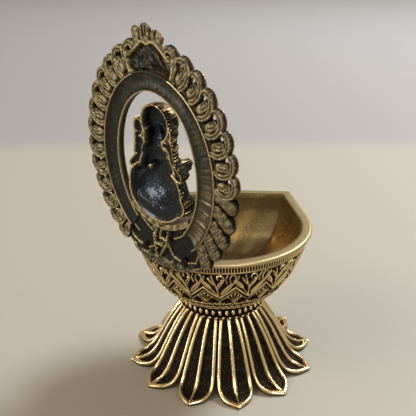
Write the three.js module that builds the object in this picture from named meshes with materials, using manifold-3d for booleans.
// Diya oil lamp: a leaf-shaped oil cup on a lotus pedestal, with an oval openwork halo standing on the
// back of the cup and a small seated figure in its opening. Millimetres, +Z up. The spout and the figure
// face -Y, and the halo leans back towards +Y.
import * as THREE from "three";
import { mergeVertices } from "three/addons/utils/BufferGeometryUtils.js";
import Module from "manifold-3d";

const wasm = await Module();
wasm.setup();

// ---- Driving dimensions ----
const GAP = 0.3; // between touching pieces

const PETALS = 12;
const PETAL_PHASE = (22 * Math.PI) / 180; // how the pedestal is clocked under the cup
const PETAL_THICKNESS = 1.5;
// Ridge line of one petal, [radius, height], from the collar down to the pointed tip on the table.
const PETAL_LINE = [
  [13.2, 22.7], [15.2, 20.7], [17.6, 17.4], [19.8, 13.6], [22.0, 9.4],
  [24.1, 5.5], [26.8, 2.8], [29.4, 1.4], [31.4, 1.2], [33.0, 1.0],
];
// Half width of a petal along the same line: it fills its pitch, then tapers to an ogive point.
const PETAL_HALF_WIDTH = [3.2, 3.7, 4.3, 4.9, 5.4, 5.8, 5.9, 4.6, 2.7, 0.4];
const PETAL_RELIEF = 0.5; // how far its rim and centre rib stand out of the dished face

const CORE_WALL = 1.2;
const CORE_TOP = 22.6;
const CORE_BOTTOM = 9.0;

const COLLAR_RADIUS = 14.9;
const COLLAR_BOTTOM = CORE_TOP + GAP;
const COLLAR_TOP = 26.5;

const SCREW_RADIUS = 2.0; // M4
const SCREW_HOLE_RADIUS = SCREW_RADIUS + GAP;
const SCREW_HEAD_RADIUS = 3.6;
const SCREW_HEAD_HEIGHT = 2.4;
const WASHER_RADIUS = 4.5;
const WASHER_THICKNESS = 0.8;
const SCREW_TIP = 29.7;

const CUP_BOTTOM = COLLAR_TOP + GAP;
const CUP_FOOT_RADIUS = 14.2;
const CUP_FLOOR = 31.5;
const CUP_BORE_TOP = 30.0;
const CUP_RIM = 51.8;
const CUP_WALL = 2.2;
const CUP_SIDES = 52;
const TIP_RATIO = 1.27; // spout distance over cup radius
const TIP_START = 27; // the spout grows out of the round cup between these heights
const TIP_FULL = 38;
// Outside of the cup, [radius, height], from the foot to the lip.
const CUP_OUTSIDE = [
  [15.7, 27.8], [18.1, 29.6], [20.6, 32.0], [23.2, 35.7], [25.6, 40.5],
  [27.4, 45.0], [28.5, 48.4], [28.8, 49.3], [29.7, 49.5], [30.1, 50.3], [30.0, 51.5],
];
// Inside of the cup, [radius, height], from the lip to the floor.
const CUP_INSIDE = [
  [26.6, CUP_RIM], [26.3, 49.0], [25.2, 45.0], [23.4, 40.6], [21.0, 36.2], [17.6, 33.0], [11.0, 31.7],
];

const HALO_LEAN = (2.8 * Math.PI) / 180;
const HALO_BASE = [27.5, 43.3]; // [y, z] of the halo's own origin, on its back face
const HALO_CENTRE = 36.2; // height of the opening's centre above that origin
const BAND_OUTER = [23.1, 28.7]; // half axes
const BAND_INNER = [16.1, 22.8];
const BAND_DEPTH = 3.4;
const BAND_WALL = 0.9;
const BAND_END = (-51 * Math.PI) / 180; // where the band ends at the foot, either side
const BORDER_NOTCH = [29.8, 35.6]; // half axes of the ellipse through the notches between lobes
const BORDER_CENTRE = 37.3;
const BORDER_DEPTH = 2.0;
const BORDER_TOP = (78.8 * Math.PI) / 180; // where the border meets the crest
const BORDER_BOTTOM = (-57 * Math.PI) / 180; // and the foot
const LOBES = 13;
const LOBE_RISE = 1.3;
const FOOT_DEPTH = 2.2;
const FOOT_TOP = 16.2;
// Bottom edge of the foot, left to right.
const FOOT_EDGE = [[-15.2, 6.8], [-11.5, 4.9], [-7.0, 3.6], [0, 3.2], [7.0, 3.6], [11.5, 4.9], [15.2, 6.8]];
const CREST_DEPTH = 4.6; // at the front of its boss
const CREST_EDGE = 2.0; // thickness of its rim and crown
const CREST_HALF_ANGLE = (22.6 * Math.PI) / 180; // how much of the band's top it covers
const CREST_BOSS = { height: 67.6, radii: [7.2, CREST_DEPTH, 5.0] };
const CREST_HOLLOW = { height: 67.4, radii: [5.6, 3.4, 3.8] };
// One side of the three-lobed crown, from its foot to its middle.
const CROWN = [[5.2, 74.4], [5.0, 76.0], [4.1, 76.8], [3.1, 76.6], [2.4, 76.0], [1.6, 77.2], [0.7, 77.9]];
const CROWN_X = 0.9; // the crown sits a little off the halo's middle
const SEAM_CREST = [[9.7, 66.5], [7.5, 69.4], [5.4, 72.2]]; // crest's side, where the border meets it
const SEAM_FOOT = [[15.0, 10.2], [15.9, 7.3]]; // foot's side, likewise
const SEAT_DEPTH = 8.5;
const SEAT_THICKNESS = 1.8;
const SEAT_RISE = 3.6; // of its ends over its middle
const SEAT_HALF_WIDTH = 10.9;
const FIGURE_X = 0.7; // the figure sits a little off the halo's middle
const POCKET_DEPTH = 1.3;
const RIVET = { x: 8.6, height: 7.0, radius: 0.8, head: 1.4, thick: 0.6 };
const NOTCH_HALF_WIDTH = 17.4; // of the notch in the cup's rim that the foot is let into

// ---- Shared shape helpers ----
const SMALLEST_DETAIL = 0.1; // slivers thinner than this are merged where many solids meet
const UP = new THREE.Vector3(0, 1, 0); // the axis that three.js turns its lathes about

// A closed skin over rings of points, all with the same count, with both ends capped or the last ring
// joined back to the first. It is turned face outwards whichever way the rings run.
function skin(rings, joined = false) {
  const points = rings.flat();
  const count = rings[0].length;
  const index = [];
  const spans = joined ? rings.length : rings.length - 1;
  for (let i = 0; i < spans; i++) {
    const a = i * count;
    const b = ((i + 1) % rings.length) * count;
    for (let j = 0; j < count; j++) {
      const k = (j + 1) % count;
      index.push(a + j, b + j, b + k, a + j, b + k, a + k);
    }
  }
  if (!joined) {
    for (const [start, flip] of [[0, false], [(rings.length - 1) * count, true]]) {
      const centre = new THREE.Vector3();
      for (let j = 0; j < count; j++) centre.add(points[start + j]);
      points.push(centre.divideScalar(count));
      const middle = points.length - 1;
      for (let j = 0; j < count; j++) {
        const k = (j + 1) % count;
        index.push(middle, ...(flip ? [start + k, start + j] : [start + j, start + k]));
      }
    }
  }
  return outward(new THREE.BufferGeometry().setFromPoints(points).setIndex(index));
}

// Turns a closed skin so that its faces look outwards.
function outward(geometry) {
  const index = Array.from(geometry.index.array);
  const position = geometry.getAttribute("position");
  const corner = (i) => new THREE.Vector3().fromBufferAttribute(position, index[i]);
  let volume = 0;
  for (let i = 0; i < index.length; i += 3)
    volume += corner(i).dot(new THREE.Vector3().crossVectors(corner(i + 1), corner(i + 2)));
  return volume < 0 ? geometry.setIndex(index.reverse()) : geometry;
}

// The manifold-3d solid of a geometry, and back again.
function solid(geometry) {
  const bare = new THREE.BufferGeometry().setAttribute("position", geometry.getAttribute("position"));
  const merged = mergeVertices(geometry.index ? bare.setIndex(geometry.index) : bare, 1e-3);
  return new wasm.Manifold(
    new wasm.Mesh({
      numProp: 3,
      vertProperties: new Float32Array(merged.attributes.position.array),
      triVerts: new Uint32Array(merged.index.array),
    }),
  );
}

function geometryOf(made) {
  const mesh = made.getMesh();
  return new THREE.BufferGeometry()
    .setAttribute("position", new THREE.BufferAttribute(mesh.vertProperties, 3))
    .setIndex(new THREE.BufferAttribute(mesh.triVerts, 1));
}

// A flat outline in the halo's own plane, [x, height] points or a Shape, made as thick as depth. Its
// back face is the halo's back face, or lies back in front of it.
function plate(outline, depth, back = 0) {
  const drawn = outline instanceof THREE.Shape;
  const shape = drawn ? outline : new THREE.Shape(outline.map((p) => new THREE.Vector2(...p)));
  const geometry = new THREE.ExtrudeGeometry(shape, { depth, bevelEnabled: false, curveSegments: 6 });
  return geometry.rotateX(Math.PI / 2).translate(0, -back, 0);
}

const oval = ([a, b], centre, angle, grow = 0) => [
  (a + grow) * Math.cos(angle),
  centre + (b + grow) * Math.sin(angle),
];

// The top of the foot and the two faces of the crescent seat on it: shallow arcs that rise to the band.
const footTop = (x) => FOOT_TOP + SEAT_RISE * (x / SEAT_HALF_WIDTH) ** 2;
const seatUnderside = (x) => footTop(x) + GAP;
const seatTop = (x) => seatUnderside(x) + SEAT_THICKNESS;

// Points [x, height] along one of those arcs, left to right.
function arcPoints(height, halfWidth, count = 13) {
  return Array.from({ length: count }, (_, i) => {
    const x = halfWidth * ((2 * i) / (count - 1) - 1);
    return [x, height(x)];
  });
}

// The clearance hole of one rivet, through both the foot and the cup's wall.
function rivetHole(side) {
  const radius = RIVET.radius + GAP;
  return new THREE.CylinderGeometry(radius, radius, 16, 16).translate(side * RIVET.x, 0, RIVET.height);
}

// A geometry of the halo's own frame, moved to where the halo stands.
const inHalo = (geometry) => geometry.rotateX(-HALO_LEAN).translate(0, HALO_BASE[0], HALO_BASE[1]);

function ring(profile, segments = 36) {
  const points = [...profile, profile[0]].map((p) => new THREE.Vector2(...p));
  return outward(new THREE.LatheGeometry(points, segments).rotateX(Math.PI / 2));
}

// ---- Materials ----
const metal = (colour, roughness, metalness = 1) =>
  new THREE.MeshStandardMaterial({ color: colour, roughness, metalness });
const ANTIQUE_BRASS = metal(0x9c7b3c, 0.4);
const BRIGHT_BRASS = metal(0xc8a255, 0.3);
const DARK_BRASS = metal(0x4a4636, 0.55);
const STEEL = metal(0xa8a8a4, 0.4);

// ---- Pedestal ----

// One lotus petal in the plane of its own ridge line, bent round the pedestal's axis.
function petal() {
  const across = [-1, -0.8, -0.5, -0.2, 0, 0.2, 0.5, 0.8, 1];
  const relief = [1, 0.9, 0, 0.4, 1, 0.4, 0, 0.9, 1];
  const rings = PETAL_LINE.map(([radius, height], i) => {
    const before = PETAL_LINE[Math.max(i - 1, 0)];
    const after = PETAL_LINE[Math.min(i + 1, PETAL_LINE.length - 1)];
    const slope = Math.atan2(before[1] - after[1], after[0] - before[0]);
    const point = (share, thickness) => {
      const r = radius - thickness * Math.sin(slope);
      const z = Math.max(0, height - thickness * Math.cos(slope));
      const angle = (share * PETAL_HALF_WIDTH[i]) / radius;
      return new THREE.Vector3(r * Math.cos(angle), r * Math.sin(angle), z);
    };
    return [
      ...across.map((share, k) => point(share, PETAL_RELIEF * (1 - relief[k]))),
      ...[-1, -0.5, 0, 0.5, 1].map((share) => point(-share, PETAL_THICKNESS)),
    ];
  });
  return skin(rings);
}

// The bell under the petals, with a flange that the screw pulls up against the collar.
function core() {
  const inset = PETAL_THICKNESS + GAP;
  const outside = PETAL_LINE.filter(([, z]) => z > CORE_BOTTOM && z < CORE_TOP - inset);
  const outer = outside.map(([r, z]) => [r - inset, z - inset * 0.6]);
  const inner = outer.map(([r, z]) => [r - CORE_WALL, z - CORE_WALL * 0.4]).reverse();
  const flange = CORE_TOP - CORE_WALL * 1.3;
  return ring([
    [SCREW_HOLE_RADIUS, CORE_TOP],
    [11.0, CORE_TOP],
    ...outer,
    ...inner,
    [9.0, flange],
    [SCREW_HOLE_RADIUS, flange],
  ]);
}

function collar() {
  const mid = (COLLAR_BOTTOM + COLLAR_TOP) / 2;
  return ring([
    [SCREW_HOLE_RADIUS, COLLAR_BOTTOM],
    [13.6, COLLAR_BOTTOM],
    [14.4, COLLAR_BOTTOM + 0.5],
    [COLLAR_RADIUS, mid],
    [14.4, COLLAR_TOP - 0.5],
    [13.8, COLLAR_TOP],
    [SCREW_HOLE_RADIUS, COLLAR_TOP],
  ]);
}

const washerTop = CORE_TOP - CORE_WALL * 1.3 - GAP;
const headTop = washerTop - WASHER_THICKNESS - GAP;

const washer = () =>
  ring([
    [SCREW_HOLE_RADIUS, washerTop],
    [WASHER_RADIUS, washerTop],
    [WASHER_RADIUS, washerTop - WASHER_THICKNESS],
    [SCREW_HOLE_RADIUS, washerTop - WASHER_THICKNESS],
  ], 24);

// A pan-head screw, driven up from inside the pedestal, with a cross slot in its head.
function screw() {
  const bottom = headTop - SCREW_HEAD_HEIGHT;
  const profile = [
    [0, bottom],
    [2.2, bottom],
    [SCREW_HEAD_RADIUS, bottom + 1.2],
    [SCREW_HEAD_RADIUS, headTop],
    [SCREW_RADIUS, headTop],
    [SCREW_RADIUS, SCREW_TIP - 0.5],
    [SCREW_RADIUS - 0.5, SCREW_TIP],
    [0, SCREW_TIP],
  ].map((p) => new THREE.Vector2(...p));
  let made = solid(new THREE.LatheGeometry(profile, 24).rotateX(Math.PI / 2));
  for (const turn of [0, Math.PI / 2]) {
    const slot = new THREE.BoxGeometry(3.6, 0.8, 2.0).rotateZ(turn).translate(0, 0, bottom);
    made = made.subtract(solid(slot));
  }
  return geometryOf(made);
}

// ---- Cup ----

// Distance of the leaf outline from the axis, over its radius, at an angle from the spout: a circle with
// two tangents that meet in the spout's tip.
function leaf(angle, ratio) {
  const tangent = Math.acos(1 / ratio);
  const off = Math.abs(Math.atan2(Math.sin(angle), Math.cos(angle)));
  return off < tangent ? 1 / Math.cos(tangent - off) : 1;
}

// How far back the cup's inside reaches: it is flat there, parallel to the leaning halo.
const insideBack = (z) =>
  HALO_BASE[0] - FOOT_DEPTH - GAP - CUP_WALL + (z - HALO_BASE[1]) * Math.tan(HALO_LEAN);

function cupRing(radius, z, back = Infinity) {
  const share = THREE.MathUtils.smoothstep(z, TIP_START, TIP_FULL);
  const ratio = 1 + (TIP_RATIO - 1) * Math.max(share, 1e-4);
  return Array.from({ length: CUP_SIDES }, (_, j) => {
    const angle = (j / CUP_SIDES) * 2 * Math.PI;
    const r = radius * leaf(angle, ratio);
    return new THREE.Vector3(r * Math.sin(angle), Math.min(-r * Math.cos(angle), back), z);
  });
}

// The cup, notched at the back of its rim for the halo's foot and drilled for the two rivets.
function cup() {
  const body = skin([
    cupRing(SCREW_HOLE_RADIUS, CUP_BORE_TOP),
    cupRing(SCREW_HOLE_RADIUS, CUP_BOTTOM),
    cupRing(CUP_FOOT_RADIUS, CUP_BOTTOM),
    ...CUP_OUTSIDE.map(([r, z]) => cupRing(r, z)),
    ...CUP_INSIDE.map(([r, z]) => cupRing(r, z, insideBack(z))),
    cupRing(1.0, CUP_FLOOR),
  ]);
  const notch = [
    ...FOOT_EDGE.map(([x, z]) => [x, z - GAP]),
    [NOTCH_HALF_WIDTH, FOOT_EDGE.at(-1)[1]],
    [NOTCH_HALF_WIDTH, 30],
    [-NOTCH_HALF_WIDTH, 30],
    [-NOTCH_HALF_WIDTH, FOOT_EDGE.at(-1)[1]],
  ];
  const cutters = [plate(notch, 20 + FOOT_DEPTH + GAP, -20), ...[-1, 1].map((side) => rivetHole(side))];
  const made = cutters.reduce((sum, cutter) => sum.subtract(solid(inHalo(cutter))), solid(body));
  return geometryOf(made);
}

// ---- Halo, in its own frame: x across, z up along its back face, front towards -y ----

// The oval band: a channel, hollow at the back, swept round the opening as far as the foot.
function band() {
  const [lip, front] = [BAND_WALL / 7, -BAND_DEPTH];
  // [share of the way from the opening to the outer edge, y]
  const section = [
    [0, 0], [0, front * 0.7], [0.25, front], [0.75, front], [1, front * 0.7], [1, 0],
    [1 - lip, 0], [1 - lip, front * 0.6], [lip, front * 0.6], [lip, 0],
  ];
  const steps = 44;
  const sweep = Math.PI - 2 * BAND_END;
  return skin(
    Array.from({ length: steps + 1 }, (_, i) => {
      const angle = BAND_END + (i / steps) * sweep;
      const [x0, z0] = oval(BAND_INNER, HALO_CENTRE, angle);
      const [x1, z1] = oval(BAND_OUTER, HALO_CENTRE, angle);
      return section.map(([t, y]) => new THREE.Vector3(x0 + (x1 - x0) * t, y, z0 + (z1 - z0) * t));
    }),
  );
}

// One side of the scrolled border: a row of lobes from the crest down to the foot, each with the eye of
// its scroll pierced through. side is 1 or -1.
function border(side) {
  const at = (share, grow) => {
    const angle = BORDER_TOP + (BORDER_BOTTOM - BORDER_TOP) * share;
    return oval(BORDER_NOTCH, BORDER_CENTRE, angle, grow);
  };
  const arc = 5;
  const outer = [];
  for (let lobe = 0; lobe < LOBES; lobe++)
    for (let k = 0; k < arc; k++)
      outer.push(at((lobe + k / arc) / LOBES, LOBE_RISE * Math.sin((k / arc) * Math.PI) ** 0.7));
  outer.push(at(1, 0));
  const crestSide = Math.PI / 2 - CREST_HALF_ANGLE - 0.02;
  const inner = Array.from({ length: 31 }, (_, i) => {
    const angle = BAND_END + (crestSide - BAND_END) * (i / 30);
    return oval(BAND_OUTER, HALO_CENTRE, angle, GAP);
  });
  const clear = ([x, y]) => [x + GAP * 1.2, y];
  const outline = [...outer, clear(SEAM_FOOT[0]), ...inner, ...SEAM_CREST.slice(0, 2).map(clear)];
  const shape = new THREE.Shape(outline.map(([x, y]) => new THREE.Vector2(side * x, y)));
  for (let lobe = 1; lobe < LOBES - 1; lobe++) {
    const [x, y] = at((lobe + 0.25) / LOBES, -2.6);
    const eye = new THREE.Path();
    eye.absarc(side * x, y, 0.6, 0, 2 * Math.PI, false);
    shape.holes.push(eye);
  }
  return plate(shape, BORDER_DEPTH);
}

// The crest that closes the border at the top: a hollow boss under a three-lobed crown.
function crest() {
  const seat = Array.from({ length: 9 }, (_, i) => {
    const angle = Math.PI / 2 - CREST_HALF_ANGLE + (i / 4) * CREST_HALF_ANGLE;
    return oval(BAND_OUTER, HALO_CENTRE, angle, GAP);
  });
  const left = [...SEAM_CREST.map(([x, z]) => [-x, z]), ...CROWN.map(([x, z]) => [CROWN_X - x, z])];
  const right = [...SEAM_CREST, ...CROWN.map(([x, z]) => [CROWN_X + x, z])];
  const outline = [...seat, ...left, ...right.reverse()];
  const inOutline = solid(plate(outline, CREST_DEPTH));
  const boss = blob([0, 0, CREST_BOSS.height], CREST_BOSS.radii).intersect(inOutline);
  const shell = solid(plate(outline, CREST_EDGE)).add(boss);
  return geometryOf(shell.subtract(blob([0, 0, CREST_HOLLOW.height], CREST_HOLLOW.radii)));
}

// An ellipsoid and a round tapering limb. Places are [x, depth in front of the halo's back, height].
function blob([x, depth, z], [rx, ry, rz]) {
  return solid(new THREE.SphereGeometry(1, 14, 9).scale(rx, ry, rz).translate(x, -depth, z));
}

function limb(from, to, r0, r1) {
  const [start, end] = [from, to].map(([x, depth, z]) => new THREE.Vector3(x, -depth, z));
  const along = end.clone().sub(start);
  const long = along.length();
  const bevel = Math.SQRT1_2; // each end is rounded off in two steps
  const profile = [
    [0, -r0], [r0 * bevel, -r0 * bevel], [r0, 0],
    [r1, long], [r1 * bevel, long + r1 * bevel], [0, long + r1],
  ].map((p) => new THREE.Vector2(...p));
  const geometry = new THREE.LatheGeometry(profile, 8);
  geometry.applyQuaternion(new THREE.Quaternion().setFromUnitVectors(UP, along.normalize()));
  return solid(outward(geometry.translate(...start.toArray())));
}

// The seated figure: legs crossed, four arms, the rear pair holding up lotus buds, a rounded crown. It is
// a hollow casting, cut off flat behind and scooped out from there, and it sits in the crescent seat.
function figure() {
  const parts = [
    blob([0, 0.5, 26.8], [11.2, 6.8, 8.6]), // lap
    blob([0, 1.5, 35.0], [6.6, 4.8, 7.2]), // belly
    blob([0, 2.0, 39.6], [6.2, 4.4, 4.6]), // chest
    limb([0, 2.4, 42.0], [0, 2.6, 45.6], 2.9, 2.9), // neck and hair
    blob([0, 2.6, 47.8], [4.4, 4.6, 4.8]), // head
    limb([0, 2.2, 50.0], [0, 2.0, 52.6], 4.0, 2.4), // crown
  ];
  for (const side of [-1, 1]) {
    const at = (x, depth, z) => [side * x, depth, z];
    parts.push(
      limb(at(4.0, 3.2, 26.6), at(8.4, 3.4, 25.6), 4.0, 3.0), // thigh
      limb(at(8.4, 4.2, 24.6), at(-2.2, 6.6, 23.2), 2.5, 1.6), // shin
      limb(at(5.4, 2.6, 39.4), at(9.8, 2.4, 34.6), 1.9, 1.5), // front arm
      limb(at(9.8, 2.4, 34.6), at(7.8, 6.0, 35.8), 1.4, 1.3),
      blob(at(7.6, 6.4, 36.6), [1.5, 1.1, 1.9]), // its open hand
      limb(at(5.2, 1.6, 40.4), at(7.9, 1.6, 38.6), 1.6, 1.4), // rear arm
      limb(at(7.9, 1.6, 38.6), at(7.0, 1.8, 44.8), 1.5, 1.2),
      blob(at(6.2, 2.0, 47.0), [2.1, 2.0, 2.9]), // lotus bud
    );
  }
  const hollows = [
    blob([0, 0, 27.2], [9.4, 4.8, 5.8]),
    blob([0, 0, 35.6], [4.8, 3.6, 6.8]),
    blob([0, 0, 47.4], [3.2, 4.0, 4.6]),
  ];
  const behind = solid(new THREE.BoxGeometry(60, 20, 90).translate(0, 10, 40));
  const below = [...arcPoints((x) => seatTop(x) + GAP, 14).reverse(), [-14, 0], [14, 0]];
  const body = parts.reduce((sum, part) => sum.add(part));
  const cutters = [behind, ...hollows];
  const made = cutters.reduce((sum, cutter) => sum.subtract(cutter), body);
  const seated = solid(geometryOf(made).translate(FIGURE_X, 0, 0)).subtract(solid(plate(below, 20)));
  return geometryOf(seated.simplify(SMALLEST_DETAIL));
}

// The lotus seat: a crescent that bridges the foot of the opening and carries the figure.
function seat() {
  const lower = arcPoints(seatUnderside, SEAT_HALF_WIDTH);
  const upper = arcPoints(seatTop, SEAT_HALF_WIDTH - 1.2).reverse();
  return plate([...lower, ...upper], SEAT_DEPTH);
}

// The foot that stands the halo on the cup: two hollow cells either side of a pierced web.
function foot() {
  const end = BAND_END - 0.035;
  const [bandX, bandZ] = oval(BAND_OUTER, HALO_CENTRE, end);
  const [openingX, openingZ] = oval(BAND_INNER, HALO_CENTRE, end);
  const right = [...SEAM_FOOT].reverse().concat([[bandX, bandZ], [openingX - 0.4, openingZ - 0.6]]);
  const top = arcPoints(footTop, 6, 5).reverse();
  const left = right.map(([x, z]) => [-x, z]).reverse();
  let made = solid(plate([...FOOT_EDGE, ...right, ...top, ...left], FOOT_DEPTH));
  const cell = [[3.2, 14.0], [8.4, 15.2], [12.2, 12.0], [13.2, 8.4], [12.2, 6.4], [8.6, 5.2], [4.4, 5.0]];
  for (const side of [-1, 1]) {
    const pocket = cell.map(([x, z]) => [side * x, z]);
    made = made.subtract(solid(plate(pocket, POCKET_DEPTH + 5, -5)));
    made = made.subtract(solid(rivetHole(side)));
  }
  for (const [z, size] of [[7.2, 0.9], [10.4, 1.1], [13.4, 0.8]]) {
    const hole = new THREE.CylinderGeometry(size, size, 9, 12).translate(0, 0, z);
    made = made.subtract(solid(hole));
  }
  return geometryOf(made);
}

// A rivet from the hollow of the foot through the cup's wall, headed over at both ends.
function rivet(side) {
  const { radius, head, thick } = RIVET;
  const back = GAP - POCKET_DEPTH;
  const front = -FOOT_DEPTH - GAP - CUP_WALL - GAP;
  const profile = [
    [0, back + thick], [head * 0.7, back + thick], [head, back], [radius, back],
    [radius, front], [head, front], [head * 0.7, front - thick], [0, front - thick],
  ].map((p) => new THREE.Vector2(...p));
  return outward(new THREE.LatheGeometry(profile, 16).translate(side * RIVET.x, 0, RIVET.height));
}

// ---- Assembly ----
const lamp = new THREE.Group();
const halo = new THREE.Group();
halo.position.set(0, HALO_BASE[0], HALO_BASE[1]);
halo.rotation.x = -HALO_LEAN;

function add(parent, name, geometry, material) {
  const mesh = new THREE.Mesh(geometry, material);
  mesh.name = name;
  parent.add(mesh);
  return mesh;
}

const petalShape = petal();
for (let i = 0; i < PETALS; i++) {
  const name = `lotus_petal_${String(i + 1).padStart(2, "0")}`;
  add(lamp, name, petalShape, ANTIQUE_BRASS).rotation.z = PETAL_PHASE + (i / PETALS) * 2 * Math.PI;
}
add(lamp, "pedestal_core", core(), DARK_BRASS);
add(lamp, "beaded_collar", collar(), ANTIQUE_BRASS);
add(lamp, "pedestal_washer", washer(), STEEL);
add(lamp, "pedestal_screw", screw(), STEEL);
add(lamp, "oil_cup", cup(), BRIGHT_BRASS);
add(halo, "halo_band", band(), DARK_BRASS);
add(halo, "scroll_border_left", border(-1), ANTIQUE_BRASS);
add(halo, "scroll_border_right", border(1), ANTIQUE_BRASS);
add(halo, "halo_crest", crest(), ANTIQUE_BRASS);
add(halo, "halo_foot", foot(), ANTIQUE_BRASS);
add(halo, "lotus_seat", seat(), ANTIQUE_BRASS);
add(halo, "seated_figure", figure(), ANTIQUE_BRASS);
add(halo, "foot_rivet_left", rivet(-1), DARK_BRASS);
add(halo, "foot_rivet_right", rivet(1), DARK_BRASS);
lamp.add(halo);

// The origin is the centre of the lamp's footprint on the table.
lamp.updateMatrixWorld(true);
const footprint = new THREE.Box3().setFromObject(lamp).getCenter(new THREE.Vector3());
lamp.position.set(-footprint.x, -footprint.y, 0);

export default lamp;
